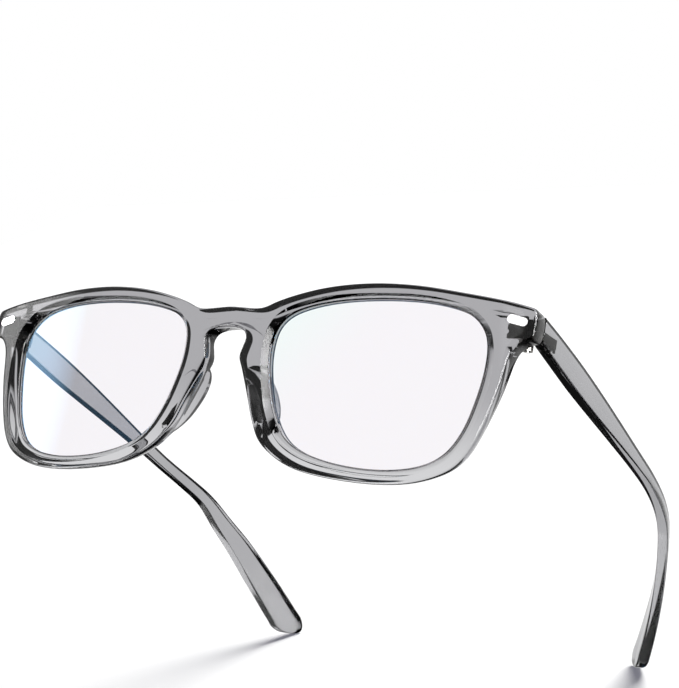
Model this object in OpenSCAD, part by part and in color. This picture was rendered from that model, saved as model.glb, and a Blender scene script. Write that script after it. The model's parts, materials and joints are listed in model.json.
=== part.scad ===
// Blue light glasses: a moulded clear-grey front with two coated lenses and two folding temples
// on embedded metal hinges.
//
// Working frame of the modules: X across the face, with "right" on the +X side as seen from the
// front, Y from the front face towards the ears, and Z up along the lens plane, from a datum a
// little under mid height. The last step, at_rest(), tips all of it until the rims and both temple
// tips stand on Z = 0, with the middle of the glasses over the origin.

/* [Front] */
// Overall width across the end pieces
front_w = 147; // [145:0.5:149]
// Radius of the face curve, seen from above
front_r = 440; // [430:10:600]
// Depth of the rims from front to back
rim_depth = 4.6; // [4.4:0.1:4.8]
// Depth at which the lens groove starts behind the front face
groove_depth = 1.9; // [1.7:0.1:2.1]
// Distance of the hinge face of the end pieces behind the bridge front
end_back = 11; // [10.8:0.1:11.2]

/* [Lenses] */
// Lens thickness
lens_t = 1.9; // [1.7:0.1:2.1]
// How far the lens reaches into the groove
lens_bite = 0.6; // [0.4:0.1:0.8]
// Free play of the lens in its groove
lens_play = 0.04; // [0.03:0.01:0.06]

/* [Temples] */
// Thickness of each temple
temple_t = 2.6; // [2.4:0.1:2.8]
// Distance from the hinge where the temple starts to curve in towards the head
curve_start = 79; // [75:1:83]
// Radius of that inward curve, measured to the outer face
curve_r = 76; // [70:1:82]

/* [Hinges] */
// Radius of the hinge knuckles
knuckle_r = 1.25; // [1.2:0.05:1.3]
// Radius of the hinge screw shank
shank_r = 0.6; // [0.55:0.05:0.65]
// Radial clearance of the shank in the knuckles
shank_play = 0.05; // [0.03:0.01:0.08]
// Height of one knuckle
knuckle_h = 2; // [1.95:0.05:2.05]

/* [Hidden] */

half_w = front_w / 2;
fit_gap = 0.04;          // between a moulded-in leaf and the plastic round it
lens_bevel = 1.2;        // depth of the wide front edge of each lens opening
curve_steps = 4;         // straight pieces between two guide points of an outline

// Guide points of the right half of the front, from the top of the bridge round to its underside.
front_half = [
    [8, 14.0], [12, 15.5], [16.5, 17.0], [23, 18.6], [30, 19.6], [38, 20.0], [47, 19.6], [56.5, 18.4],
    [66, 16.7], [half_w - 1.6, 15.3], [half_w - 0.4, 14.6], [half_w, 13.2], [half_w - 0.1, 10.2],
    [half_w - 0.7, 8.8], [half_w - 2.4, 8.3], [69.6, 7.1], [68.3, 4.8], [67.4, 0.5], [66.6, -3.2],
    [64.8, -9.4], [62.5, -15.2], [59.8, -19.0], [56, -21.6], [50.5, -23.4], [44, -24.1], [37, -24.0],
    [29, -23.2], [22.5, -21.8], [17.2, -19.3], [13.2, -16.1], [10.5, -12.0], [8.5, -7.2], [7.0, -3.6],
    [5.7, -0.6], [4.8, 1.6], [4.6, 3.2], [5.1, 5.2], [5.5, 7.1], [4.6, 8.7], [2.5, 9.5]
];
bridge_top = 14.4;
bridge_arch = 9.7;

// Guide points of the clear opening of the right lens, anticlockwise.
lens_guide = [
    [63.2, 3.0], [62.5, 9.2], [58.6, 13.6], [51, 16.0], [40, 16.8], [27, 16.1], [17.4, 13.9],
    [12.8, 10.6], [11.6, 5.2], [12.5, -1.5], [15.4, -9.8], [20.2, -16.0], [29, -19.4], [39.5, -20.8],
    [49, -20.2], [56.2, -17.4], [59.9, -12.0], [62.0, -5.0]
];

// Guide points of the wider edge of that opening at the front face.
bevel_guide = [
    [66.6, 5.0], [64.7, 10.9], [59.4, 14.9], [51, 16.9], [40, 17.6], [26, 16.8], [16, 14.5],
    [10.8, 10.8], [9.4, 6.0], [10.2, -1.0], [13.0, -9.5], [18.4, -17.0], [28, -21.2], [40, -22.6],
    [50, -21.8], [58.3, -18.5], [62.6, -12.0], [65.4, -4.0]
];

// Guide points of a temple seen from the side, along the top edge, round the tip, back underneath.
temple_guide = [
    [end_back + 0.2, 15.0], [20.5, 13.1], [32.3, 10.3], [43.9, 7.1], [55.5, 3.6], [67.1, 0.0],
    [78.6, -3.5], [90.6, -7.1], [98.2, -10.2], [105.2, -14.9], [112.2, -20.7], [120.4, -29.4],
    [127.4, -38.0], [128.9, -41.2], [127.7, -43.4], [125.0, -43.0], [122.4, -40.4], [116.4, -33.2],
    [108.4, -24.3], [101.6, -18.0], [95.8, -13.0], [88.6, -9.9], [77.8, -6.6], [66.1, -3.6],
    [54.3, -1.0], [42.5, 1.5], [30.7, 4.1], [20.0, 6.9], [end_back + 0.2, 9.3]
];

hinge_x = 69;
hinge_y = 12.4;
knuckle_low = 7.9;       // underside of the lowest knuckle
knuckle_gap = 0.08;
knuckle_pitch = knuckle_h + knuckle_gap;
knuckle_top = knuckle_low + 3 * knuckle_h + 2 * knuckle_gap;
leaf_t = 1;
temple_in = hinge_x + 1.5;         // inner face of the straight part of a temple
head_r = 1.0;
head_h = 0.55;

// Catmull-Rom curve through guide points
function knot(p, i, closed) = closed ? p[(i + len(p)) % len(p)] : p[max(0, min(len(p) - 1, i))];
function between(a, b, c, d, t) =
    0.5 * (2 * b + (c - a) * t + (2 * a - 5 * b + 4 * c - d) * t * t + (3 * b - a - 3 * c + d) * t * t * t);
function smooth(p, closed = true) = [
    for (i = [0 : len(p) - (closed ? 1 : 2)], s = [0 : curve_steps - 1])
        between(knot(p, i - 1, closed), knot(p, i, closed), knot(p, i + 1, closed),
                knot(p, i + 2, closed), s / curve_steps)
];

// An anticlockwise outline moved outwards by a distance
function outward(p, i) = let (d = p[(i + 1) % len(p)] - p[(i + len(p) - 1) % len(p)]) [d.y, -d.x] / norm(d);
function grow(p, by) = [for (i = [0 : len(p) - 1]) p[i] + by * outward(p, i)];

function flip(p) = [for (q = p) [-q.x, q.y]];
function reversed(p) = [for (i = [len(p) - 1 : -1 : 0]) p[i]];

front_loop = smooth(concat([[0, bridge_top]], front_half, [[0, bridge_arch]], flip(reversed(front_half))));
lens_loop = smooth(lens_guide);
bevel_loop = smooth(bevel_guide);
temple_loop = smooth(temple_guide, closed = false);

// Resting attitude: the angle that brings rim and temple tip to one level, then the drop to Z = 0
function face_y(x) = front_r - sqrt(front_r * front_r - x * x);
function turned_y(y, z, a) = y * cos(a) - z * sin(a);
function turned_z(y, z, a) = y * sin(a) + z * cos(a);
function rim_low(a) = min([for (p = front_loop) turned_z(face_y(p.x), p.y, a)]);
function tip_low(a) = min([for (p = temple_loop) turned_z(p.x, p.y, a)]);
function level(lo, hi, n = 24) =
    let (mid = (lo + hi) / 2)
    n == 0 ? mid : tip_low(mid) < rim_low(mid) ? level(mid, hi, n - 1) : level(lo, mid, n - 1);
tilt = level(4, 14);
y_near = min([for (p = front_loop) turned_y(face_y(p.x), p.y, tilt)]);
y_far = max([for (p = temple_loop) turned_y(p.x, p.y, tilt)]);

module at_rest() {
    translate([0, -(y_near + y_far) / 2, -rim_low(tilt)]) rotate([tilt, 0, 0]) children();
}

// The left half mirrors the right one
module side(right) {
    if (right) children();
    else mirror([1, 0, 0]) children();
}

// A profile in X and Z, run back from y0 to y1
module run_back(y0, y1) {
    translate([0, y1, 0]) rotate([90, 0, 0]) linear_extrude(y1 - y0) children();
}

// The curved layer between two depths behind the front face
module layer(y0, y1) {
    translate([0, front_r, -40]) difference() {
        cylinder(r = front_r - y0, h = 80, $fn = 1440);
        translate([0, 0, -1]) cylinder(r = front_r - y1, h = 82, $fn = 1440);
    }
}

// Front

// One nose pad: a fin that follows the nasal edge of the rim and flares back and outwards
pad_r = 10.4;            // radius of its rear edge
pad_sink = 5.2;          // how far the middle of that radius lies in front of the pad's root
pad_t = 2.2;
module nose_pad() {
    translate([7.7, 3.2, -6.6]) rotate([0, -22, 0]) rotate([0, 0, -24]) intersection() {
        translate([0, -pad_sink, 0]) rotate([0, 90, 0]) cylinder(r = pad_r, h = pad_t, $fn = 180);
        translate([-1, 0, -pad_r]) cube([pad_t + 2, pad_r, 2 * pad_r]);
    }
}

// Behind each front corner the plastic is deepened for the hinge
module end_block() {
    intersection() {
        run_back(3, end_back) polygon(front_loop);
        translate([0, 0, 8.3]) linear_extrude(10) polygon([
            [62.5, 4], [half_w + 1, 4], [half_w + 1, end_back - 3], [half_w - 1.4, end_back],
            [66.6, end_back], [63.4, 8.6]
        ]);
    }
}

module lens_opening() {
    run_back(-2, 20) polygon(lens_loop);
    intersection() {
        run_back(-2, 12) polygon(bevel_loop);
        layer(-1, lens_bevel);
    }
    intersection() {
        run_back(-2, 20) polygon(grow(lens_loop, lens_bite + lens_play));
        layer(groove_depth, groove_depth + lens_t + 2 * lens_play);
    }
}

module front_frame() {
    color([0.62, 0.63, 0.65, 0.6]) at_rest() difference() {
        union() {
            intersection() {
                run_back(-2, 20) polygon(front_loop);
                layer(0, rim_depth);
            }
            for (right = [false, true]) side(right) {
                end_block();
                nose_pad();
            }
        }
        for (right = [false, true]) side(right) {
            lens_opening();
            front_leaf_shape(fit_gap);
            inlay_shape(fit_gap / 2);
        }
    }
}

module lens(right) {
    color([0.75, 0.88, 0.97, 0.35]) at_rest() side(right) intersection() {
        run_back(-2, 20) polygon(grow(lens_loop, lens_bite));
        layer(groove_depth + lens_play, groove_depth + lens_play + lens_t);
    }
}

// A plain rounded bar let into each front corner, square to the face there
inlay_l = 4.6;
inlay_h = 1.9;
inlay_x = 69.4;
inlay_z = 12.6;
inlay_low = 0.6;         // depth of its floor
inlay_proud = 0.15;
function bar(l, h) = [for (s = [1, -1], a = [-90 : 15 : 90]) s * [(l - h) / 2 + h / 2 * cos(a), h / 2 * sin(a)]];
module inlay_shape(extra) {
    translate([inlay_x, face_y(inlay_x), inlay_z]) rotate([0, 0, asin(inlay_x / front_r)]) rotate([0, 12, 0])
        run_back(-inlay_proud, inlay_low + extra) polygon(bar(inlay_l + 2 * extra, inlay_h + 2 * extra));
}

module inlay(right) {
    color("silver") at_rest() side(right) inlay_shape(0);
}

// Hinges

module knuckle(i, extra = 0) {
    translate([hinge_x, hinge_y, knuckle_low + i * knuckle_pitch - extra])
        cylinder(r = knuckle_r + extra, h = knuckle_h + 2 * extra, $fn = 48);
}

module pin_hole() {
    translate([hinge_x, hinge_y, knuckle_low - 1])
        cylinder(r = shank_r + shank_play, h = knuckle_top - knuckle_low + 2, $fn = 48);
}

// Plate held in the end piece, with a notched edge, and a web that carries two knuckles
plate_y = 7.6;
plate_low = 9.2;
plate_high = 14.0;
module front_leaf_shape(extra = 0) {
    run_back(plate_y - extra, plate_y + leaf_t + extra) difference() {
        translate([66.6 - extra, plate_low - extra])
            square([4.1 + 2 * extra, plate_high - plate_low + 2 * extra]);
        if (extra == 0) for (z = [10.6, 12.6]) translate([66.4, z]) circle(d = 1.1, $fn = 24);
    }
    for (i = [0, 2]) {
        low = max(plate_low + 0.1, knuckle_low + i * knuckle_pitch);
        high = min(plate_high - 0.1, knuckle_low + i * knuckle_pitch + knuckle_h);
        translate([hinge_x - leaf_t / 2 - extra, plate_y + leaf_t / 2, low - extra])
            cube([leaf_t + 2 * extra, hinge_y - plate_y - leaf_t / 2, high - low + 2 * extra]);
    }
}

module front_leaf(right) {
    color([0.72, 0.70, 0.66]) at_rest() side(right) difference() {
        union() {
            front_leaf_shape();
            knuckle(0);
            knuckle(2);
        }
        pin_hole();
        translate([hinge_x, hinge_y, knuckle_top - head_h])
            cylinder(r = head_r + shank_play, h = head_h + 1, $fn = 48);
    }
}

// Barbed plate held in the temple, joined to the middle knuckle
barb_y = [14.2, 15.8, 17.4];
leaf_x = temple_in + 0.7;
module temple_leaf_shape(extra = 0) {
    z0 = knuckle_low + knuckle_pitch;
    translate([hinge_x, hinge_y - leaf_t / 2 - extra, z0 - extra])
        cube([leaf_x - hinge_x + leaf_t + extra, leaf_t + 2 * extra, knuckle_h + 2 * extra]);
    translate([leaf_x - extra, 0, 0]) rotate([90, 0, 90]) linear_extrude(leaf_t + 2 * extra) {
        translate([hinge_y - leaf_t / 2 - extra, z0 - extra])
            square([6.2 + 2 * extra, knuckle_h + 2 * extra]);
        for (y = barb_y) polygon([
            [y - 0.7 - extra, z0 + 0.2], [y + 0.5 + extra, z0 + 0.2],
            [y + 0.5 + extra, z0 - 0.9 - extra], [y + 0.1 - extra, z0 - 0.9 - extra]
        ]);
    }
}

module temple_leaf(right) {
    color([0.72, 0.70, 0.66]) at_rest() side(right) difference() {
        union() {
            temple_leaf_shape();
            knuckle(1);
        }
        pin_hole();
    }
}

module hinge_screw(right) {
    color([0.80, 0.79, 0.76]) at_rest() side(right) translate([hinge_x, hinge_y, 0]) difference() {
        union() {
            translate([0, 0, knuckle_low - 0.25])
                cylinder(r = shank_r, h = knuckle_top - knuckle_low, $fn = 48);
            translate([0, 0, knuckle_top - head_h]) cylinder(r = head_r, h = head_h, $fn = 48);
        }
        translate([-1.5, -0.15, knuckle_top - 0.25]) cube([3, 0.3, 1]);
    }
}

// Temples

// The temple seen from above: straight, then curving in towards the head
bend_turn = 46;          // degrees of the inward curve, more than the tip needs
function bend(r) = [
    for (a = [0 : 2 : bend_turn]) [temple_in + temple_t - curve_r + r * cos(a), curve_start + r * sin(a)]
];
temple_plan = concat(
    [[temple_in, 5], [temple_in + temple_t, 5]], bend(curve_r), reversed(bend(curve_r - temple_t))
);

module temple(right) {
    color([0.62, 0.63, 0.65, 0.6]) at_rest() side(right) difference() {
        intersection() {
            rotate([90, 0, 90]) linear_extrude(80) polygon(temple_loop);
            translate([0, 0, -60]) linear_extrude(90) polygon(temple_plan);
        }
        temple_leaf_shape(fit_gap);
    }
}

front_frame();
lens(false);  // lens_left
lens(true);  // lens_right
inlay(false);  // inlay_left
inlay(true);  // inlay_right
front_leaf(false);  // front_leaf_left
front_leaf(true);  // front_leaf_right
temple_leaf(false);  // temple_leaf_left
temple_leaf(true);  // temple_leaf_right
hinge_screw(false);  // hinge_screw_left
hinge_screw(true);  // hinge_screw_right
temple(false);  // temple_left
temple(true);  // temple_right
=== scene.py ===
import json
import math
import bmesh
import bpy
from mathutils import Matrix, Vector


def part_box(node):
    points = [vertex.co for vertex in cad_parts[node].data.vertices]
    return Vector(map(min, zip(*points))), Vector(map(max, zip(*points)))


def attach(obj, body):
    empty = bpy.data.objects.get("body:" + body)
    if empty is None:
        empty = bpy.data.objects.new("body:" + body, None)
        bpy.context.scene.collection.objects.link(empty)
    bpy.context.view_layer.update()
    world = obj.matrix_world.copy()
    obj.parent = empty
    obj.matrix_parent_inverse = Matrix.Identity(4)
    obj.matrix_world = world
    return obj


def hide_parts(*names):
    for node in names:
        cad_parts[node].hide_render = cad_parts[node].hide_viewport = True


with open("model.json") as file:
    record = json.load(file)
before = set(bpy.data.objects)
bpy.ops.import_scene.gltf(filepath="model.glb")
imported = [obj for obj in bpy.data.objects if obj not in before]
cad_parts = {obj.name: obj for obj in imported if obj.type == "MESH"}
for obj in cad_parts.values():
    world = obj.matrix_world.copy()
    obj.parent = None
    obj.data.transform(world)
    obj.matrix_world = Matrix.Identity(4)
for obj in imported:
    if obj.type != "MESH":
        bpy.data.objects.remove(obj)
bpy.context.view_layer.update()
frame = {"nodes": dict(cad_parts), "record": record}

print("frame loaded")

mm = 0.001

# the hinge axis leans with the glasses, so it gives the tilt they rest at
joints = {j["name"]: j for j in frame["record"]["behaviour"]["joints"]}
hinge = joints["right_temple_fold"]
tilt = math.atan2(-hinge["axis"][1], hinge["axis"][2])
hingeAt = Vector(hinge["pos_m"])
hingeFlat = Vector((0.069, 0.0124, 0.01098))            # the same point before the glasses are tipped
toRest = Matrix.Translation(hingeAt) @ Matrix.Rotation(tilt, 4, "X") @ Matrix.Translation(-hingeFlat)

smoothBelow = math.radians(32)                          # sharper edges than this stay crisp
weld = 1e-6                                             # vertices closer than this are one


def clearSelection():
    if bpy.context.object and bpy.context.object.mode != "OBJECT":
        bpy.ops.object.mode_set(mode="OBJECT")
    bpy.ops.object.select_all(action="DESELECT")


def makeActive(piece):
    clearSelection()
    piece.select_set(True)
    bpy.context.view_layer.objects.active = piece


def sinCos(degrees):
    return math.sin(math.radians(degrees)), math.cos(math.radians(degrees))


def between(low, high, x):
    # 0 at low, 1 at high, with a soft start and end
    t = max(0.0, min(1.0, (x - low) / (high - low)))
    return t * t * (3 - 2 * t)


def knot(points, i, closed):
    return points[i % len(points)] if closed else points[max(0, min(len(points) - 1, i))]


def smoothCurve(points, steps, closed=True):
    # Catmull-Rom through guide points
    out = []
    for i in range(len(points) - (0 if closed else 1)):
        a, b, c, d = (Vector(knot(points, i + k, closed)) for k in (-1, 0, 1, 2))
        for k in range(steps):
            t = k / steps
            out.append(0.5 * (2 * b + (c - a) * t + (2 * a - 5 * b + 4 * c - d) * t * t
                              + (3 * b - a - 3 * c + d) * t ** 3))
    if not closed:
        out.append(Vector(points[-1]))
    return out


def spread(points, count):
    # evenly spaced points along an open polyline, ends included
    lengths = [0.0]
    for a, b in zip(points, points[1:]):
        lengths.append(lengths[-1] + (b - a).length)
    out, k = [], 0
    for i in range(count):
        want = lengths[-1] * i / (count - 1)
        while k < len(points) - 2 and lengths[k + 1] < want:
            k += 1
        step = lengths[k + 1] - lengths[k]
        out.append(points[k].lerp(points[k + 1], 0 if step == 0 else (want - lengths[k]) / step))
    return out


def relax(loop, passes, fixed=None):
    # evens out the small kinks between guide points
    for _ in range(passes):
        count = len(loop)
        loop = [p if fixed and fixed[i] else (loop[i - 1] + 2 * p + loop[(i + 1) % count]) / 4
                for i, p in enumerate(loop)]
    return loop


def mirroredRows(rows):
    return [[Vector((-p.x, p.y, p.z)) for p in row] for row in rows]


def selectOpenEdges(piece):
    bm = bmesh.from_edit_mesh(piece.data)
    for v in bm.verts:
        v.select = False
    for e in bm.edges:
        e.select = len(e.link_faces) == 1
    bm.select_flush_mode()
    bmesh.update_edit_mesh(piece.data)


def loopBody(name, rows, wrapAround=False):
    # a ring of vertices is drawn out row by row, as with E and G, and each new row is set in place
    clearSelection()
    bpy.ops.mesh.primitive_circle_add(vertices=len(rows[0]), radius=0.01, location=(0, 0, 0))
    piece = bpy.context.object
    piece.name = piece.data.name = name
    bpy.ops.object.mode_set(mode="EDIT")
    bpy.ops.mesh.select_mode(type="EDGE")
    bpy.ops.mesh.select_all(action="SELECT")
    bm = bmesh.from_edit_mesh(piece.data)
    station = bm.verts.layers.int.new("station")
    bm.verts.ensure_lookup_table()
    for i, v in enumerate(bm.verts):
        v[station] = i
        v.co = rows[0][i]
    bmesh.update_edit_mesh(piece.data)
    for row in rows[1:]:
        bpy.ops.mesh.extrude_edges_move()
        bm = bmesh.from_edit_mesh(piece.data)
        station = bm.verts.layers.int["station"]
        for v in bm.verts:
            if v.select:
                v.co = row[v[station]]
        bmesh.update_edit_mesh(piece.data)
    if wrapAround:                                      # the last row joins the first
        selectOpenEdges(piece)
        bpy.ops.mesh.bridge_edge_loops()
    else:                                               # a flat cap on each end
        bpy.ops.mesh.edge_face_add()
        selectOpenEdges(piece)
        bpy.ops.mesh.edge_face_add()
    tidyEditMesh()
    return piece


def tidyEditMesh():
    bpy.ops.mesh.select_all(action="SELECT")
    bpy.ops.mesh.remove_doubles(threshold=weld)
    bpy.ops.mesh.normals_make_consistent(inside=False)
    bpy.ops.object.mode_set(mode="OBJECT")


def finishPiece(piece, body, material, node):
    makeActive(piece)
    piece.data.transform(toRest)
    bpy.ops.object.shade_smooth_by_angle(angle=smoothBelow)
    piece.data.materials.clear()
    piece.data.materials.append(material)
    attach(piece, body)
    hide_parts(node)


def newMaterial(name):
    mat = bpy.data.materials.new(name)
    mat.use_nodes = True
    nodes, links = mat.node_tree.nodes, mat.node_tree.links
    return mat, nodes, links, nodes["Principled BSDF"], nodes["Material Output"]


def mouldedSurfaceGroup():
    # faint flow marks, fine dust-like speckle and hairline rub marks of a moulded and handled part
    group = bpy.data.node_groups.new("Moulded surface", "ShaderNodeTree")
    face = group.interface
    for label, default in (("Flow scale", 90.0), ("Speckle scale", 2600.0), ("Rub scale", 700.0)):
        socket = face.new_socket(label, in_out="INPUT", socket_type="NodeSocketFloat")
        socket.default_value = default
    for label in ("Flow", "Speckle", "Rub"):
        face.new_socket(label, in_out="OUTPUT", socket_type="NodeSocketFloat")
    nodes, links = group.nodes, group.links
    entry, leave = nodes.new("NodeGroupInput"), nodes.new("NodeGroupOutput")
    where = nodes.new("ShaderNodeTexCoord")
    flow = nodes.new("ShaderNodeTexNoise")
    flow.inputs["Detail"].default_value = 2.0
    speckle = nodes.new("ShaderNodeTexNoise")
    speckle.inputs["Detail"].default_value = 4.0
    stretch = nodes.new("ShaderNodeMapping")
    stretch.inputs["Rotation"].default_value = (0.3, 0.5, 0.7)
    stretch.inputs["Scale"].default_value = (1.0, 0.12, 1.0)
    rub = nodes.new("ShaderNodeTexNoise")
    rub.inputs["Detail"].default_value = 5.0
    sharpen = nodes.new("ShaderNodeValToRGB")
    sharpen.color_ramp.elements[0].position = 0.56
    sharpen.color_ramp.elements[1].position = 0.72
    links.new(where.outputs["Object"], flow.inputs["Vector"])
    links.new(where.outputs["Object"], speckle.inputs["Vector"])
    links.new(where.outputs["Object"], stretch.inputs["Vector"])
    links.new(stretch.outputs["Vector"], rub.inputs["Vector"])
    links.new(entry.outputs["Flow scale"], flow.inputs["Scale"])
    links.new(entry.outputs["Speckle scale"], speckle.inputs["Scale"])
    links.new(entry.outputs["Rub scale"], rub.inputs["Scale"])
    links.new(flow.outputs["Fac"], leave.inputs["Flow"])
    links.new(speckle.outputs["Fac"], leave.inputs["Speckle"])
    links.new(rub.outputs["Fac"], sharpen.inputs["Fac"])
    links.new(sharpen.outputs["Color"], leave.inputs["Rub"])
    return group


mouldedSurface = mouldedSurfaceGroup()


def addMarks(nodes):
    marks = nodes.new("ShaderNodeGroup")
    marks.node_tree = mouldedSurface
    return marks


def colorMix(nodes, first, second):
    mix = nodes.new("ShaderNodeMix")
    mix.data_type = "RGBA"
    mix.inputs["A"].default_value = (*first, 1)
    mix.inputs["B"].default_value = (*second, 1)
    return mix


def roughen(nodes, links, skin, mask, roughness):
    gloss = nodes.new("ShaderNodeMapRange")
    gloss.inputs["To Min"].default_value, gloss.inputs["To Max"].default_value = roughness
    links.new(mask, gloss.inputs["Value"])
    links.new(gloss.outputs["Result"], skin.inputs["Roughness"])


def ripple(nodes, links, skin, mask, strength, distance):
    bump = nodes.new("ShaderNodeBump")
    bump.inputs["Strength"].default_value = strength
    bump.inputs["Distance"].default_value = distance
    links.new(mask, bump.inputs["Height"])
    links.new(bump.outputs["Normal"], skin.inputs["Normal"])


def letLampThrough(nodes, links, skin, out, tint):
    # the lamp reaches the floor through clear plastic and lenses, so their shadows stay pale
    path = nodes.new("ShaderNodeLightPath")
    clear = nodes.new("ShaderNodeBsdfTransparent")
    clear.inputs["Color"].default_value = (*tint, 1)
    mix = nodes.new("ShaderNodeMixShader")
    links.new(path.outputs["Is Shadow Ray"], mix.inputs["Fac"])
    links.new(skin.outputs["BSDF"], mix.inputs[1])
    links.new(clear.outputs["BSDF"], mix.inputs[2])
    links.new(mix.outputs["Shader"], out.inputs["Surface"])


# the low tint is painted light by height: the front's lower rims lighter, the arms' tips darker
frontLook = {
    "tint": (0.41, 0.407, 0.423), "deepTint": (0.40, 0.398, 0.415), "paintedLowTint": (0.66, 0.66, 0.675),
    "paintedLowAt": 0.003, "paintedFromAt": 0.024, "sheen": (0.4, 0.4, 0.4), "ior": 1.49,
    "roughness": (0.004, 0.02), "ripple": 0.015, "rippleDeep": 0.0002, "shadowTint": (0.62, 0.62, 0.65),
}
armLook = {
    "tint": (0.455, 0.455, 0.468), "deepTint": (0.4, 0.4, 0.415), "paintedLowTint": (0.43, 0.43, 0.443),
    "paintedLowAt": 0.0, "paintedFromAt": 0.03, "sheen": (0.03, 0.03, 0.03), "ior": 1.49,
    "roughness": (0.004, 0.02), "ripple": 0.015, "rippleDeep": 0.0002, "shadowTint": (0.38, 0.38, 0.42),
}


def makeClearGrey(name, look):
    mat, nodes, links, skin, out = newMaterial(name)
    marks = addMarks(nodes)
    tint = colorMix(nodes, look["tint"], look["deepTint"])
    where = nodes.new("ShaderNodeTexCoord")
    split = nodes.new("ShaderNodeSeparateXYZ")
    paintedHeightRamp = nodes.new("ShaderNodeMapRange")              # painted light by height: the front lighter low down, partly as there is less plastic there, the arms painted darker towards the tips
    paintedHeightRamp.interpolation_type = "SMOOTHSTEP"
    paintedHeightRamp.inputs["From Min"].default_value = look["paintedFromAt"]
    paintedHeightRamp.inputs["From Max"].default_value = look["paintedLowAt"]
    # painted light: the tint is mixed towards the low tint by height
    depth = colorMix(nodes, look["tint"], look["paintedLowTint"])
    links.new(marks.outputs["Flow"], tint.inputs["Factor"])
    links.new(where.outputs["Object"], split.inputs["Vector"])
    links.new(split.outputs["Z"], paintedHeightRamp.inputs["Value"])
    links.new(paintedHeightRamp.outputs["Result"], depth.inputs["Factor"])
    links.new(tint.outputs["Result"], depth.inputs["A"])
    links.new(depth.outputs["Result"], skin.inputs["Base Color"])
    roughen(nodes, links, skin, marks.outputs["Rub"], look["roughness"])
    ripple(nodes, links, skin, marks.outputs["Flow"], look["ripple"], look["rippleDeep"])
    skin.inputs["IOR"].default_value = look["ior"]
    skin.inputs["Specular Tint"].default_value = (*look["sheen"], 1)
    skin.inputs["Transmission Weight"].default_value = 1.0
    letLampThrough(nodes, links, skin, out, look["shadowTint"])
    return mat


frontGrey = makeClearGrey("clear grey plastic front", frontLook)
armGrey = makeClearGrey("clear grey plastic arm", armLook)

# the lens colour carries a painted reflection of the blue coating towards one upper corner
lensLook = {
    "clear": (0.945, 0.94, 0.995), "paintedGlintTint": (0.89, 1.0, 1.0), "coat": (0.15, 0.55, 1.0), "ior": 1.6,
    "roughness": (0.0, 0.012), "heightShare": -0.9, "shadowTint": (0.95, 0.96, 0.99),
}


def makeLens(name, look, paintedGlintFrom, paintedGlintTo):
    mat, nodes, links, skin, out = newMaterial(name)
    marks = addMarks(nodes)
    where = nodes.new("ShaderNodeTexCoord")
    split = nodes.new("ShaderNodeSeparateXYZ")
    corner = nodes.new("ShaderNodeMath")                # painted reflection: the coating's blue reflection is painted into the colour, growing towards one upper corner
    corner.operation = "MULTIPLY_ADD"
    corner.inputs[1].default_value = look["heightShare"]
    paintedGlintFade = nodes.new("ShaderNodeMapRange")
    paintedGlintFade.interpolation_type = "SMOOTHSTEP"
    paintedGlintFade.inputs["From Min"].default_value = paintedGlintFrom
    paintedGlintFade.inputs["From Max"].default_value = paintedGlintTo
    tint = colorMix(nodes, look["clear"], look["paintedGlintTint"])
    links.new(where.outputs["Object"], split.inputs["Vector"])
    links.new(split.outputs["Z"], corner.inputs[0])
    links.new(split.outputs["X"], corner.inputs[2])
    links.new(corner.outputs["Value"], paintedGlintFade.inputs["Value"])
    links.new(paintedGlintFade.outputs["Result"], tint.inputs["Factor"])
    links.new(tint.outputs["Result"], skin.inputs["Base Color"])
    roughen(nodes, links, skin, marks.outputs["Rub"], look["roughness"])
    skin.inputs["IOR"].default_value = look["ior"]
    skin.inputs["Specular Tint"].default_value = (*look["coat"], 1)
    skin.inputs["Transmission Weight"].default_value = 1.0
    letLampThrough(nodes, links, skin, out, look["shadowTint"])
    return mat


# height counts against sideways place, so the painted blue reflection starts at the low X, high Z side of
# each lens
coatedLeft = makeLens("coated lens left", lensLook, -0.074, -0.098)
coatedRight = makeLens("coated lens right", lensLook, 0.008, -0.028)

trimLook = {
    "color": (0.90, 0.90, 0.90), "rubbed": (0.97, 0.97, 0.97), "roughness": (0.06, 0.16),
    "grain": 3000.0, "speckle": 9000.0, "ripple": 0.15, "rippleDeep": 0.00005,
}
hingeLook = {
    "color": (0.36, 0.345, 0.32), "rubbed": (0.62, 0.60, 0.56), "roughness": (0.22, 0.40),
    "grain": 2500.0, "speckle": 9000.0, "ripple": 0.15, "rippleDeep": 0.00005,
}
screwLook = {
    "color": (0.62, 0.61, 0.58), "rubbed": (0.80, 0.79, 0.77), "roughness": (0.15, 0.30),
    "grain": 2500.0, "speckle": 9000.0, "ripple": 0.15, "rippleDeep": 0.00005,
}


def makeMetal(name, look):
    mat, nodes, links, skin, out = newMaterial(name)
    marks = addMarks(nodes)
    marks.inputs["Rub scale"].default_value = look["grain"]
    marks.inputs["Speckle scale"].default_value = look["speckle"]
    tone = colorMix(nodes, look["color"], look["rubbed"])
    links.new(marks.outputs["Rub"], tone.inputs["Factor"])
    links.new(tone.outputs["Result"], skin.inputs["Base Color"])
    roughen(nodes, links, skin, marks.outputs["Speckle"], look["roughness"])
    ripple(nodes, links, skin, marks.outputs["Speckle"], look["ripple"], look["rippleDeep"])
    skin.inputs["Metallic"].default_value = 1.0
    return mat


silver = makeMetal("silver trim", trimLook)
hingeMetal = makeMetal("hinge metal", hingeLook)
screwSteel = makeMetal("hinge screw steel", screwLook)
print("materials made")

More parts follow.
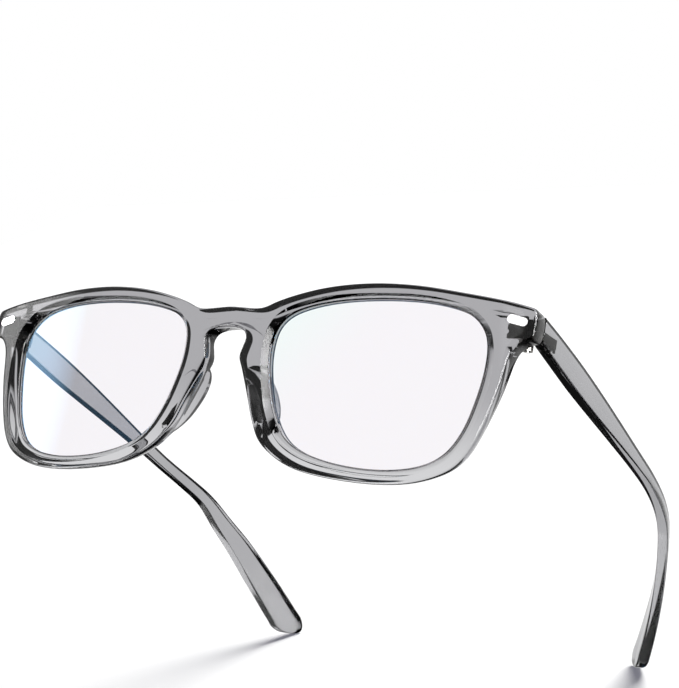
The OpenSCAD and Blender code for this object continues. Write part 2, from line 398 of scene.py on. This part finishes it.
# front: millimetres, with the glasses level and the face at Y 0; X runs sideways and Z up
front = {
    "halfWidth": 73.5, "faceRadius": 440.0, "depth": 4.6, "endDepth": 11.0,
    "blockX": (63.6, 66.6), "blockZ": (6.6, 8.6),       # where the back steps out for the hinge
    "edgeRound": 0.5, "nasalRound": 1.5, "nasalDeep": 1.1,
    "nasalX": (15, 11), "nasalFoot": (-17, -12), "nasalHead": (3.0, 0.0),
    "backRound": 0.6, "wallRound": 0.45, "rearRound": 0.5, "landWide": 1.0,
    "taperTop": 0.25, "taperLow": 1.25, "lowSide": (-14.0, 8.0),
    "grooveFrom": 1.9, "grooveTo": 3.86, "grooveDeep": 0.66, "bevelDepth": 1.25,
    "bridgeTop": 14.4, "bridgeArch": 9.7, "bridgeSteps": 14,
}
# the nose pads grow out of the nasal walls
pad = {
    "height": 5.2, "wide": 2.1, "crest": -5.0, "above": 5.5, "below": 10.5, "flare": 0.2,
    "reachX": (15, 12.5), "topAt": 2.5, "starts": 0.3, "round": 0.9,
}
halfWidth = front["halfWidth"]
frontGuide = [
    (8, 14.0), (12, 15.5), (16.5, 17.0), (23, 18.6), (30, 19.6), (38, 20.0), (47, 19.6), (56.5, 18.4),
    (66, 17.0), (halfWidth - 1.6, 15.7), (halfWidth - 0.4, 15.0), (halfWidth, 13.5), (halfWidth - 0.1, 10.2),
    (halfWidth - 0.7, 8.8), (halfWidth - 2.4, 8.3), (69.7, 7.1), (68.5, 4.8), (67.7, 0.5), (67.0, -3.2),
    (65.3, -9.4), (63.0, -15.2), (60.2, -19.1), (56.2, -21.6), (50.5, -23.4), (44, -24.1), (37, -24.0),
    (29, -23.2), (22.5, -21.8), (17.2, -19.3), (13.2, -16.1), (10.5, -12.0), (8.5, -7.2), (7.0, -3.6),
    (5.7, -0.6), (4.8, 1.6), (4.6, 3.2), (5.1, 5.2), (5.5, 7.1), (4.6, 8.7), (2.5, 9.5),
]
lensGuide = [
    (63.2, 3.0), (62.5, 9.2), (58.6, 13.6), (51, 16.0), (40, 16.8), (27, 16.1), (17.4, 13.9),
    (12.8, 10.6), (11.6, 5.2), (12.5, -1.5), (15.4, -9.8), (20.2, -16.0), (29, -19.4), (39.5, -20.8),
    (49, -20.2), (56.2, -17.4), (59.9, -12.0), (62.0, -5.0),
]
# how wide the bevel round the lens is at each of those points
bevelWide = [2.4, 1.8, 1.3, 0.95, 0.85, 0.9, 1.0, 1.1, 1.15, 1.2, 1.4, 1.6, 1.7, 1.8, 1.9, 2.1, 2.4, 2.5]
wholeOuter = [(0, front["bridgeTop"])] + frontGuide + [(0, front["bridgeArch"])] \
    + [(-x, z) for x, z in reversed(frontGuide)]
# places that belong together, so that cross sections stay square: guide point of the outer outline,
# of the lens and bevel, and how many sections lie before it
anchors = [
    (0, 7.15, 0), (3, 6.0, 26), (6, 4.05, 34), (9, 2.5, 34), (11, 1.75, 22), (16, 0.95, 24), (19, -0.55, 18),
    (22, -1.95, 18), (25, -4.6, 26), (29, -6.45, 22), (32, -8.05, 20), (35, -9.2, 18), (37, -9.65, 12),
    (39, -10.1, 14), (41, -10.45, 16),
]
finePerGuide = 16


def faceY(x):
    radius = front["faceRadius"]
    return radius - math.sqrt(radius * radius - x * x)


def stretches(points, indices, counts):
    fine = smoothCurve(points, finePerGuide)
    out = []
    for (a, b), n in zip(zip(indices, indices[1:]), counts):
        start, end = int(round(a * finePerGuide)), int(round(b * finePerGuide))
        step = 1 if end > start else -1
        part = [fine[i % len(fine)] for i in range(start, end + step, step)]
        out += spread(part, n + 1)[:-1]
    return out


def normalsOf(loop):
    # the outlines run clockwise, so these point outwards
    out = []
    for i in range(len(loop)):
        d = (loop[(i + 1) % len(loop)] - loop[i - 1]).normalized()
        out.append(Vector((-d.y, d.x)))
    return out


def grown(loop, normals, by):
    return [p + n * by for p, n in zip(loop, normals)]


counts = [n for _, _, n in anchors[1:]]
outerAnchors = [a for a, _, _ in anchors]
lensAnchors = [b for _, b, _ in anchors]
upBridge = [lensAnchors[-1], lensAnchors[0] - len(lensGuide)]
bridgeSteps = front["bridgeSteps"]
bridgeTall = front["bridgeTop"] - front["bridgeArch"]
outer = stretches(wholeOuter, outerAnchors, counts)
outer += [Vector((0, front["bridgeArch"] + bridgeTall * i / bridgeSteps)) for i in range(bridgeSteps)]
lensEdge = stretches(lensGuide, lensAnchors, counts) + stretches(lensGuide, upBridge, [bridgeSteps])
bevelGuide = [(wide, 0) for wide in bevelWide]
bevelSpan = stretches(bevelGuide, lensAnchors, counts) + stretches(bevelGuide, upBridge, [bridgeSteps])
stations = len(outer)
onMiddle = [p.x < weld for p in outer]
outer = relax(outer, 3, fixed=[p.x < 1.0 or (p.x > 69 and p.y > 6) for p in outer])
lensEdge = relax(lensEdge, 12)
bevelSpan = relax(bevelSpan, 12)
outerNormal = normalsOf(outer)
lensNormal = normalsOf(lensEdge)
bevelEdge = [p + n * wide.x for p, n, wide in zip(lensEdge, lensNormal, bevelSpan)]
print("front outlines laid out", stations)


def outerInset(by):
    # the outer outline moved inwards; on the middle line it only slides along that line
    top = front["bridgeTop"] - by[0]
    low = front["bridgeArch"] + by[stations - bridgeSteps]
    out = []
    for i, p in enumerate(outer):
        if i == 0:
            out.append(Vector((0, top)))
        elif onMiddle[i]:
            out.append(Vector((0, low + (top - low) * (p.y - front["bridgeArch"]) / bridgeTall)))
        else:
            out.append(p - outerNormal[i] * by[i])
    return out


def lift(loop, depth, shiftX=None):
    # a flat outline bent round the face and set at one depth, or at each station's own
    row = []
    for i, p in enumerate(loop):
        d = depth[i] if isinstance(depth, list) else depth
        x = p.x + (shiftX[i] if shiftX else 0)
        row.append(Vector((x, faceY(p.x) + d, p.y)) * mm)
    return row


def backAt(p):
    # how deep the back lies: the rim, deeper for the hinge behind the corner
    rim = front["depth"]
    end = front["endDepth"] - faceY(p.x)
    return rim + (end - rim) * between(*front["blockX"], p.x) * between(*front["blockZ"], p.y)


def padAt(p):
    # the nose pad rises from the nasal wall, quickly above its crest and slowly below
    if p.x > pad["reachX"][0] or p.x < weld or p.y > pad["topAt"]:
        return 0.0
    over = p.y - pad["crest"]
    t = over / (pad["above"] if over > 0 else pad["below"])
    if abs(t) >= 1:
        return 0.0
    fullness = 0.5 if over > 0 else 1.0
    return pad["height"] * (1 - t * t) ** fullness * between(*pad["reachX"], p.x)


def blendLoops(a, b, t):
    return [p.lerp(q, t) for p, q in zip(a, b)]


lowSide = [1 - between(*front["lowSide"], p.y) for p in outer]
nasal = [
    between(*front["nasalX"], p.x) * between(*front["nasalFoot"], p.y) * between(*front["nasalHead"], p.y)
    for p in outer
]
edge = [front["edgeRound"] + (front["nasalRound"] - front["edgeRound"]) * n for n in nasal]
edgeDeep = [front["edgeRound"] + (front["nasalDeep"] - front["edgeRound"]) * n for n in nasal]
taper = [front["taperTop"] + (front["taperLow"] - front["taperTop"]) * low for low in lowSide]
pads = [padAt(p) for p in outer]
flare = [h * pad["flare"] for h in pads]
outerBack = [backAt(p) for p in outer]
rows = []

# lens opening, from the back forwards: rounded rear edge, groove, bevel
rearRound, openingBack = front["rearRound"], [min(backAt(p), front["depth"]) for p in lensEdge]
for angle in (0, 30, 60, 90):
    s, c = sinCos(angle)
    rows.append(lift(grown(lensEdge, lensNormal, rearRound * (1 - s)),
                     [d - rearRound * (1 - c) for d in openingBack]))
groove = grown(lensEdge, lensNormal, front["grooveDeep"])
for loop, depth in (
    (lensEdge, front["grooveTo"]), (groove, front["grooveTo"]),
    (groove, front["grooveFrom"]), (lensEdge, front["grooveFrom"]),
    (lensEdge, front["bevelDepth"] + 0.08),
    (blendLoops(lensEdge, bevelEdge, 0.06), front["bevelDepth"] - 0.06),
    (blendLoops(lensEdge, bevelEdge, 0.94), 0.10),
    (bevelEdge, 0.01),
):
    rows.append(lift(loop, depth))

# front face and its rounded outer edge
faceEdge = outerInset(edge)
for t in (0.06, 0.25, 0.5, 0.75):
    rows.append(lift(blendLoops(bevelEdge, faceEdge, t), 0.0))
for angle in (0, 22.5, 45, 67.5, 90):
    s, c = sinCos(angle)
    rows.append(lift(outerInset([e * (1 - s) for e in edge]), [d * (1 - c) for d in edgeDeep]))

# outer wall, drawn in towards the back
for t in (0.25, 0.5, 0.75):
    rows.append(lift(outerInset([w * t * t for w in taper]),
                     [e + (d - front["backRound"] - e) * t for d, e in zip(outerBack, edgeDeep)]))
backRounds = [front["wallRound"] if h < pad["starts"] else pad["round"] for h in pads]
for angle in (0, 22.5, 45, 67.5, 90):                   # rounded back edge, or the crest of the nose pad
    s, c = sinCos(angle)
    rows.append(lift(outerInset([w + r * (1 - c) for w, r in zip(taper, backRounds)]),
                     [d + h - r * (1 - s) for d, h, r in zip(outerBack, pads, backRounds)], flare))

# back face: down the pad's far side, then across to the opening
land = [front["landWide"] + (pad["wide"] - front["landWide"]) * min(1.0, h / pad["starts"]) for h in pads]
padWall = [w + wide for w, wide in zip(taper, land)]
for further, share in ((0.0, 0.8), (0.25, 0.25)):
    rows.append(lift(outerInset([w + further for w in padWall]),
                     [d + h * share for d, h in zip(outerBack, pads)], flare))
wallFoot = outerInset([w + 0.5 for w in padWall])
openingOut = grown(lensEdge, lensNormal, rearRound)
for t in (0.0, 0.3, 0.6, 0.85):
    across = blendLoops(wallFoot, openingOut, t)
    rows.append(lift(across, [backAt(p) if t < 0.8 else front["depth"] for p in across]))

frontPiece = loopBody("frontMoulding", rows, wrapAround=True)
# the bridge is opened at the middle and the half mirrored
bpy.ops.object.mode_set(mode="EDIT")
bpy.ops.mesh.select_all(action="DESELECT")
bpy.ops.mesh.select_mode(type="FACE")
bm = bmesh.from_edit_mesh(frontPiece.data)
for f in bm.faces:
    f.select = all(abs(v.co.x) < weld for v in f.verts)
bmesh.update_edit_mesh(frontPiece.data)
bpy.ops.mesh.delete(type="FACE")
bpy.ops.object.mode_set(mode="OBJECT")
mirror = frontPiece.modifiers.new("Mirror", "MIRROR")
mirror.merge_threshold = weld
bpy.ops.object.modifier_apply(modifier=mirror.name)
bpy.ops.object.mode_set(mode="EDIT")
tidyEditMesh()
finishPiece(frontPiece, "front", frontGrey, "front_frame")
print("front moulded", len(frontPiece.data.polygons))

lens = {
    "thick": 1.9, "from": 1.94, "bite": 0.6, "rings": 14, "core": 0.15, "shoulder": 0.997, "chamfer": 0.12,
}


def makeLensPiece(name, side, node, material):
    edgeLoop = grown(lensEdge, lensNormal, lens["bite"])
    centre = sum(edgeLoop, Vector((0, 0))) / len(edgeLoop)
    near, far = lens["from"], lens["from"] + lens["thick"]
    shares = [(k + lens["core"]) / lens["rings"] for k in range(lens["rings"])] + [lens["shoulder"]]
    lensRows = [lift([centre.lerp(p, t) for p in edgeLoop], near) for t in shares]
    lensRows.append(lift(edgeLoop, near + lens["chamfer"]))
    lensRows.append(lift(edgeLoop, far - lens["chamfer"]))
    lensRows += [lift([centre.lerp(p, t) for p in edgeLoop], far) for t in reversed(shares)]
    if side < 0:
        lensRows = mirroredRows(lensRows)
    finishPiece(loopBody(name, lensRows), "front", material, node)


makeLensPiece("lensPaneLeft", -1, "lens_left", coatedLeft)
makeLensPiece("lensPaneRight", 1, "lens_right", coatedRight)
print("lenses made")

temple = {
    "inner": 70.5, "thick": 2.6, "curveStart": 72.0, "curveRadius": 92.0, "edge": 0.4, "corner": 5,
    "tipLong": 4.1, "tipLean": 0.5, "tipSlim": 0.3, "tipBlunt": 0.6, "capInset": 0.12, "capShare": 0.93,
}
templeTop = [
    (11.2, 15.0), (20.5, 13.1), (32.3, 10.3), (43.9, 7.1), (55.5, 3.6), (67.1, 0.0), (78.6, -3.5),
    (90.6, -7.1), (98.2, -10.2), (105.2, -14.9), (112.5, -20.4), (121.0, -28.9), (128.1, -37.6),
]
templeUnder = [
    (11.2, 9.3), (20.0, 6.9), (30.7, 4.1), (42.5, 1.5), (54.3, -1.0), (66.1, -3.6), (77.8, -6.6),
    (88.6, -9.9), (95.8, -13.0), (101.6, -18.0), (108.4, -24.3), (116.4, -33.2), (122.4, -40.4),
]


def templeX(across, y):
    # straight behind the hinge, then on an arc in towards the head
    if y <= temple["curveStart"]:
        return temple["inner"] + across
    inner = temple["curveRadius"] - temple["thick"]
    run = y - temple["curveStart"]
    return temple["inner"] - inner + math.sqrt((inner + across) ** 2 - run * run)


def crossSection(top, under, slim=1.0):
    # rounded rectangle between the top and under points, corner by corner
    thick, corner = temple["thick"] * slim, temple["corner"]
    inset = (temple["thick"] - thick) / 2
    height = (top - under).length
    direction = (top - under) / height
    e = min(temple["edge"], height * 0.49, thick * 0.45)
    flat = []
    for cx, cz, start, ahead in (
        (thick - e, height - e, 0, (e, height)), (e, height - e, 90, (0, e)),
        (e, e, 180, (thick - e, 0)), (thick - e, e, 270, (thick, height - e)),
    ):
        for k in range(corner + 1):
            s, c = sinCos(start + 90 * k / corner)
            flat.append((cx + e * c, cz + e * s))
        cornerEnd = flat[-1]
        for t in (1 / 3, 2 / 3):                        # two more along the side keep the faces even
            flat.append(tuple(a * (1 - t) + b * t for a, b in zip(cornerEnd, ahead)))
    out = []
    for across, along in flat:
        p = under + direction * along
        out.append(Vector((templeX(inset + across, p.x), p.x, p.y)) * mm)
    return out


def makeTemple(name, side, node, body):
    fineTop = smoothCurve(templeTop, 10, closed=False)
    fineUnder = smoothCurve(templeUnder, 10, closed=False)
    sections = [crossSection(top, under) for top, under in zip(fineTop, fineUnder)]
    # half of a leaning ellipse closes the tip, thinner towards its point
    centre, half = (fineTop[-1] + fineUnder[-1]) / 2, (fineTop[-1] - fineUnder[-1]) / 2
    ahead = Vector((half.y, -half.x)).normalized() * temple["tipLong"]
    for angle in (10, 20, 30, 40, 50, 60, 68, 75, 81, 85.5, 88.5):
        s, c = sinCos(angle)
        lean = temple["tipLean"] * (1 - c)              # the point of the tip lies nearer the top edge
        slim = temple["tipSlim"] + (1 - temple["tipSlim"]) * c ** temple["tipBlunt"]
        at = centre + ahead * s
        sections.append(crossSection(at + half * (lean + c), at + half * (lean - c), slim))
    # a slightly smaller first section rounds the hinge end
    back = Vector((0, temple["capInset"] * mm, 0))
    first = sections[0]
    middle = sum(first, Vector()) / len(first)
    sections[:1] = [[middle + (p - middle) * temple["capShare"] for p in first], [p + back for p in first]]
    if side < 0:
        sections = mirroredRows(sections)
    piece = loopBody(name, sections)
    finishPiece(piece, body, armGrey, node)
    return piece


makeTemple("templeArmLeft", -1, "temple_left", "left_temple")
rightArm = makeTemple("templeArmRight", 1, "temple_right", "right_temple")
print("temples made")

# the hinge parts and the trim are kept as they come, in metal
for node, material in (
    ("inlay_left", silver), ("inlay_right", silver),
    ("front_leaf_left", hingeMetal), ("front_leaf_right", hingeMetal),
    ("temple_leaf_left", hingeMetal), ("temple_leaf_right", hingeMetal),
    ("hinge_screw_left", screwSteel), ("hinge_screw_right", screwSteel),
):
    for slotOfNode in frame["nodes"][node].material_slots:
        slotOfNode.material = material
print("hinges finished")

floorLook = {
    "reach": 0.6, "sweepReach": 1.1, "lean": math.radians(43.0), "gap": 0.0001, "below": 0.0002,
    "color": (0.93, 0.93, 0.935), "worn": (0.9207, 0.9207, 0.92565), "grain": 30.0, "roughness": 0.9,
}


def makeFloorMaterial(look):
    mat, nodes, links, skin, out = newMaterial("pale studio floor")
    where = nodes.new("ShaderNodeTexCoord")
    grain = nodes.new("ShaderNodeTexNoise")
    grain.inputs["Scale"].default_value = look["grain"]
    tone = colorMix(nodes, look["color"], look["worn"])
    links.new(where.outputs["Object"], grain.inputs["Vector"])
    links.new(grain.outputs["Fac"], tone.inputs["Factor"])
    links.new(tone.outputs["Result"], skin.inputs["Base Color"])
    skin.inputs["Roughness"].default_value = look["roughness"]
    skin.inputs["Specular IOR Level"].default_value = 0.0
    facing = nodes.new("ShaderNodeNewGeometry")
    clear = nodes.new("ShaderNodeBsdfTransparent")
    mix = nodes.new("ShaderNodeMixShader")              # seen from underneath, a floor isn't there
    links.new(facing.outputs["Backfacing"], mix.inputs["Fac"])
    links.new(skin.outputs["BSDF"], mix.inputs[1])
    links.new(clear.outputs["BSDF"], mix.inputs[2])
    links.new(mix.outputs["Shader"], out.inputs["Surface"])
    return mat


def stageGround(ground, name, material):
    makeActive(ground)
    ground.name = name
    bpy.ops.object.transform_apply(location=True, rotation=True, scale=True)
    ground.data.materials.append(material)
    ground.visible_transmission = False
    ground.visible_glossy = False
    return ground


paleFloor = makeFloorMaterial(floorLook)
clearSelection()
bpy.ops.mesh.primitive_circle_add(
    vertices=96, radius=floorLook["reach"], fill_type="NGON",
    location=(0, 0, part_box("temple_right")[0].z - floorLook["below"]))
table = stageGround(bpy.context.object, "studioTable", paleFloor)
table.visible_shadow = False
table.visible_diffuse = False
# a leaning sheet behind just touches the ends of both temples
lean, gap = floorLook["lean"], floorLook["gap"]
towardSheet = Vector((0, math.sin(lean), -math.cos(lean)))
touch = max((v.co for v in rightArm.data.vertices), key=towardSheet.dot)
clearSelection()
bpy.ops.mesh.primitive_plane_add(
    size=floorLook["sweepReach"], location=(0, touch.y + gap, touch.z - gap), rotation=(lean, 0, 0))
stageGround(bpy.context.object, "studioSweep", paleFloor)

lampLook = {"size": 1.35, "power": 126.0, "from": (0.5, 0.05, 2.7)}
lampData = bpy.data.lights.new("overheadPanel", "AREA")
lampData.shape, lampData.size, lampData.energy = "SQUARE", lampLook["size"], lampLook["power"]
lamp = bpy.data.objects.new("overheadPanel", lampData)
bpy.context.scene.collection.objects.link(lamp)
lamp.visible_transmission = False
lamp.visible_glossy = False
lamp.location = lampLook["from"]
lamp.rotation_euler = (-Vector(lampLook["from"])).to_track_quat("-Z", "Y").to_euler()

# a dark room with bright patches; the numbers are direction, full out to, faded by (degrees) and
# brightness
studio = {
    "sweep": ((-0.529, 0.768, 0.362), 24.0, 40.0, 1.0),
    "through": ((0.0, 0.0, -1.0), 100.0, 112.0, 0.8),
    "dark": 0.012, "seen": 1.0,
}
# these only show in the outer surfaces
glints = {
    "boxRight": ((-0.150, -0.982, 0.115), 1.5, 2.6, 3.0),
    "boxLeft": ((-0.850, -0.508, 0.13), 3.5, 9.5, 6.0),
    "stripRight": ((0.815, -0.56, 0.155), 22.0, 34.0, 24.0),
    "stripLow": ((-0.53, -0.11, -0.84), 18.0, 30.0, 5.0),
    "wallBeyond": ((0.25, 0.89, 0.38), 25.0, 45.0, 1.0),
    "wallBehind": ((-0.5, -0.86, 0.1), 40.0, 65.0, 0.95),
}
world = bpy.context.scene.world or bpy.data.worlds.new("studio")
bpy.context.scene.world = world
world.use_nodes = True
nodes, links = world.node_tree.nodes, world.node_tree.links
background = nodes["Background"]
where = nodes.new("ShaderNodeTexCoord")


def worldMath(operation, first, second):
    node = nodes.new("ShaderNodeMath")
    node.operation = operation
    for socket, value in zip(node.inputs, (first, second)):
        if isinstance(value, (int, float)):
            socket.default_value = value
        else:
            links.new(value, socket)
    return node.outputs["Value"]


def addPatch(patch):
    direction, fullTo, fadedBy, strength = patch
    toward = nodes.new("ShaderNodeVectorMath")
    toward.operation = "DOT_PRODUCT"
    toward.inputs[1].default_value = Vector(direction).normalized()
    glow = nodes.new("ShaderNodeMapRange")
    glow.interpolation_type = "SMOOTHSTEP"
    glow.inputs["From Min"].default_value = math.cos(math.radians(fadedBy))
    glow.inputs["From Max"].default_value = math.cos(math.radians(fullTo))
    glow.inputs["To Max"].default_value = strength
    links.new(where.outputs["Generated"], toward.inputs[0])
    links.new(toward.outputs["Value"], glow.inputs["Value"])
    return glow.outputs["Result"]


path = nodes.new("ShaderNodeLightPath")
reflected = worldMath("MINIMUM", path.outputs["Glossy Depth"], 1.0)
entered = worldMath("MINIMUM", path.outputs["Transmission Depth"], 1.0)
straight = worldMath("SUBTRACT", entered, reflected)     # 1 for light that only passed through
outside = worldMath("SUBTRACT", reflected, entered)      # 1 for light that only bounced off
room = worldMath("MAXIMUM", addPatch(studio["sweep"]), studio["dark"])
room = worldMath("MAXIMUM", room, worldMath("MULTIPLY", straight, addPatch(studio["through"])))
for patch in glints.values():
    room = worldMath("MAXIMUM", room, worldMath("MULTIPLY", outside, addPatch(patch)))
seen = nodes.new("ShaderNodeMix")
seen.inputs["B"].default_value = studio["seen"]
links.new(room, seen.inputs["A"])
links.new(path.outputs["Is Camera Ray"], seen.inputs["Factor"])
links.new(seen.outputs["Result"], background.inputs["Strength"])
background.inputs["Color"].default_value = (1.0, 1.0, 1.0, 1)
bpy.context.scene.view_settings.view_transform = "Standard"

# the camera is placed before the tip to rest, as the pieces are
cameraLook = {
    "at": (0.2569, -0.3484, -0.0968), "right": (0.8488, 0.5055, 0.1552), "down": (0.005, 0.2858, -0.9583),
    "lens": 104.2706, "sensor": 36.0, "shift": (-0.0015, -0.0018), "clip": (0.05, 20.0),
}
lookRight, lookDown = Vector(cameraLook["right"]), Vector(cameraLook["down"])
turn = Matrix((lookRight, -lookDown, -lookRight.cross(lookDown))).transposed().to_4x4()
cameraData = bpy.data.cameras.new("studioCamera")
cameraData.sensor_width, cameraData.lens = cameraLook["sensor"], cameraLook["lens"]
cameraData.shift_x, cameraData.shift_y = cameraLook["shift"]
cameraData.clip_start, cameraData.clip_end = cameraLook["clip"]
camera = bpy.data.objects.new("studioCamera", cameraData)
bpy.context.scene.collection.objects.link(camera)
camera.matrix_world = toRest @ Matrix.Translation(cameraLook["at"]) @ turn
bpy.context.scene.camera = camera
print("stage set")

bpy.context.view_layer.update()
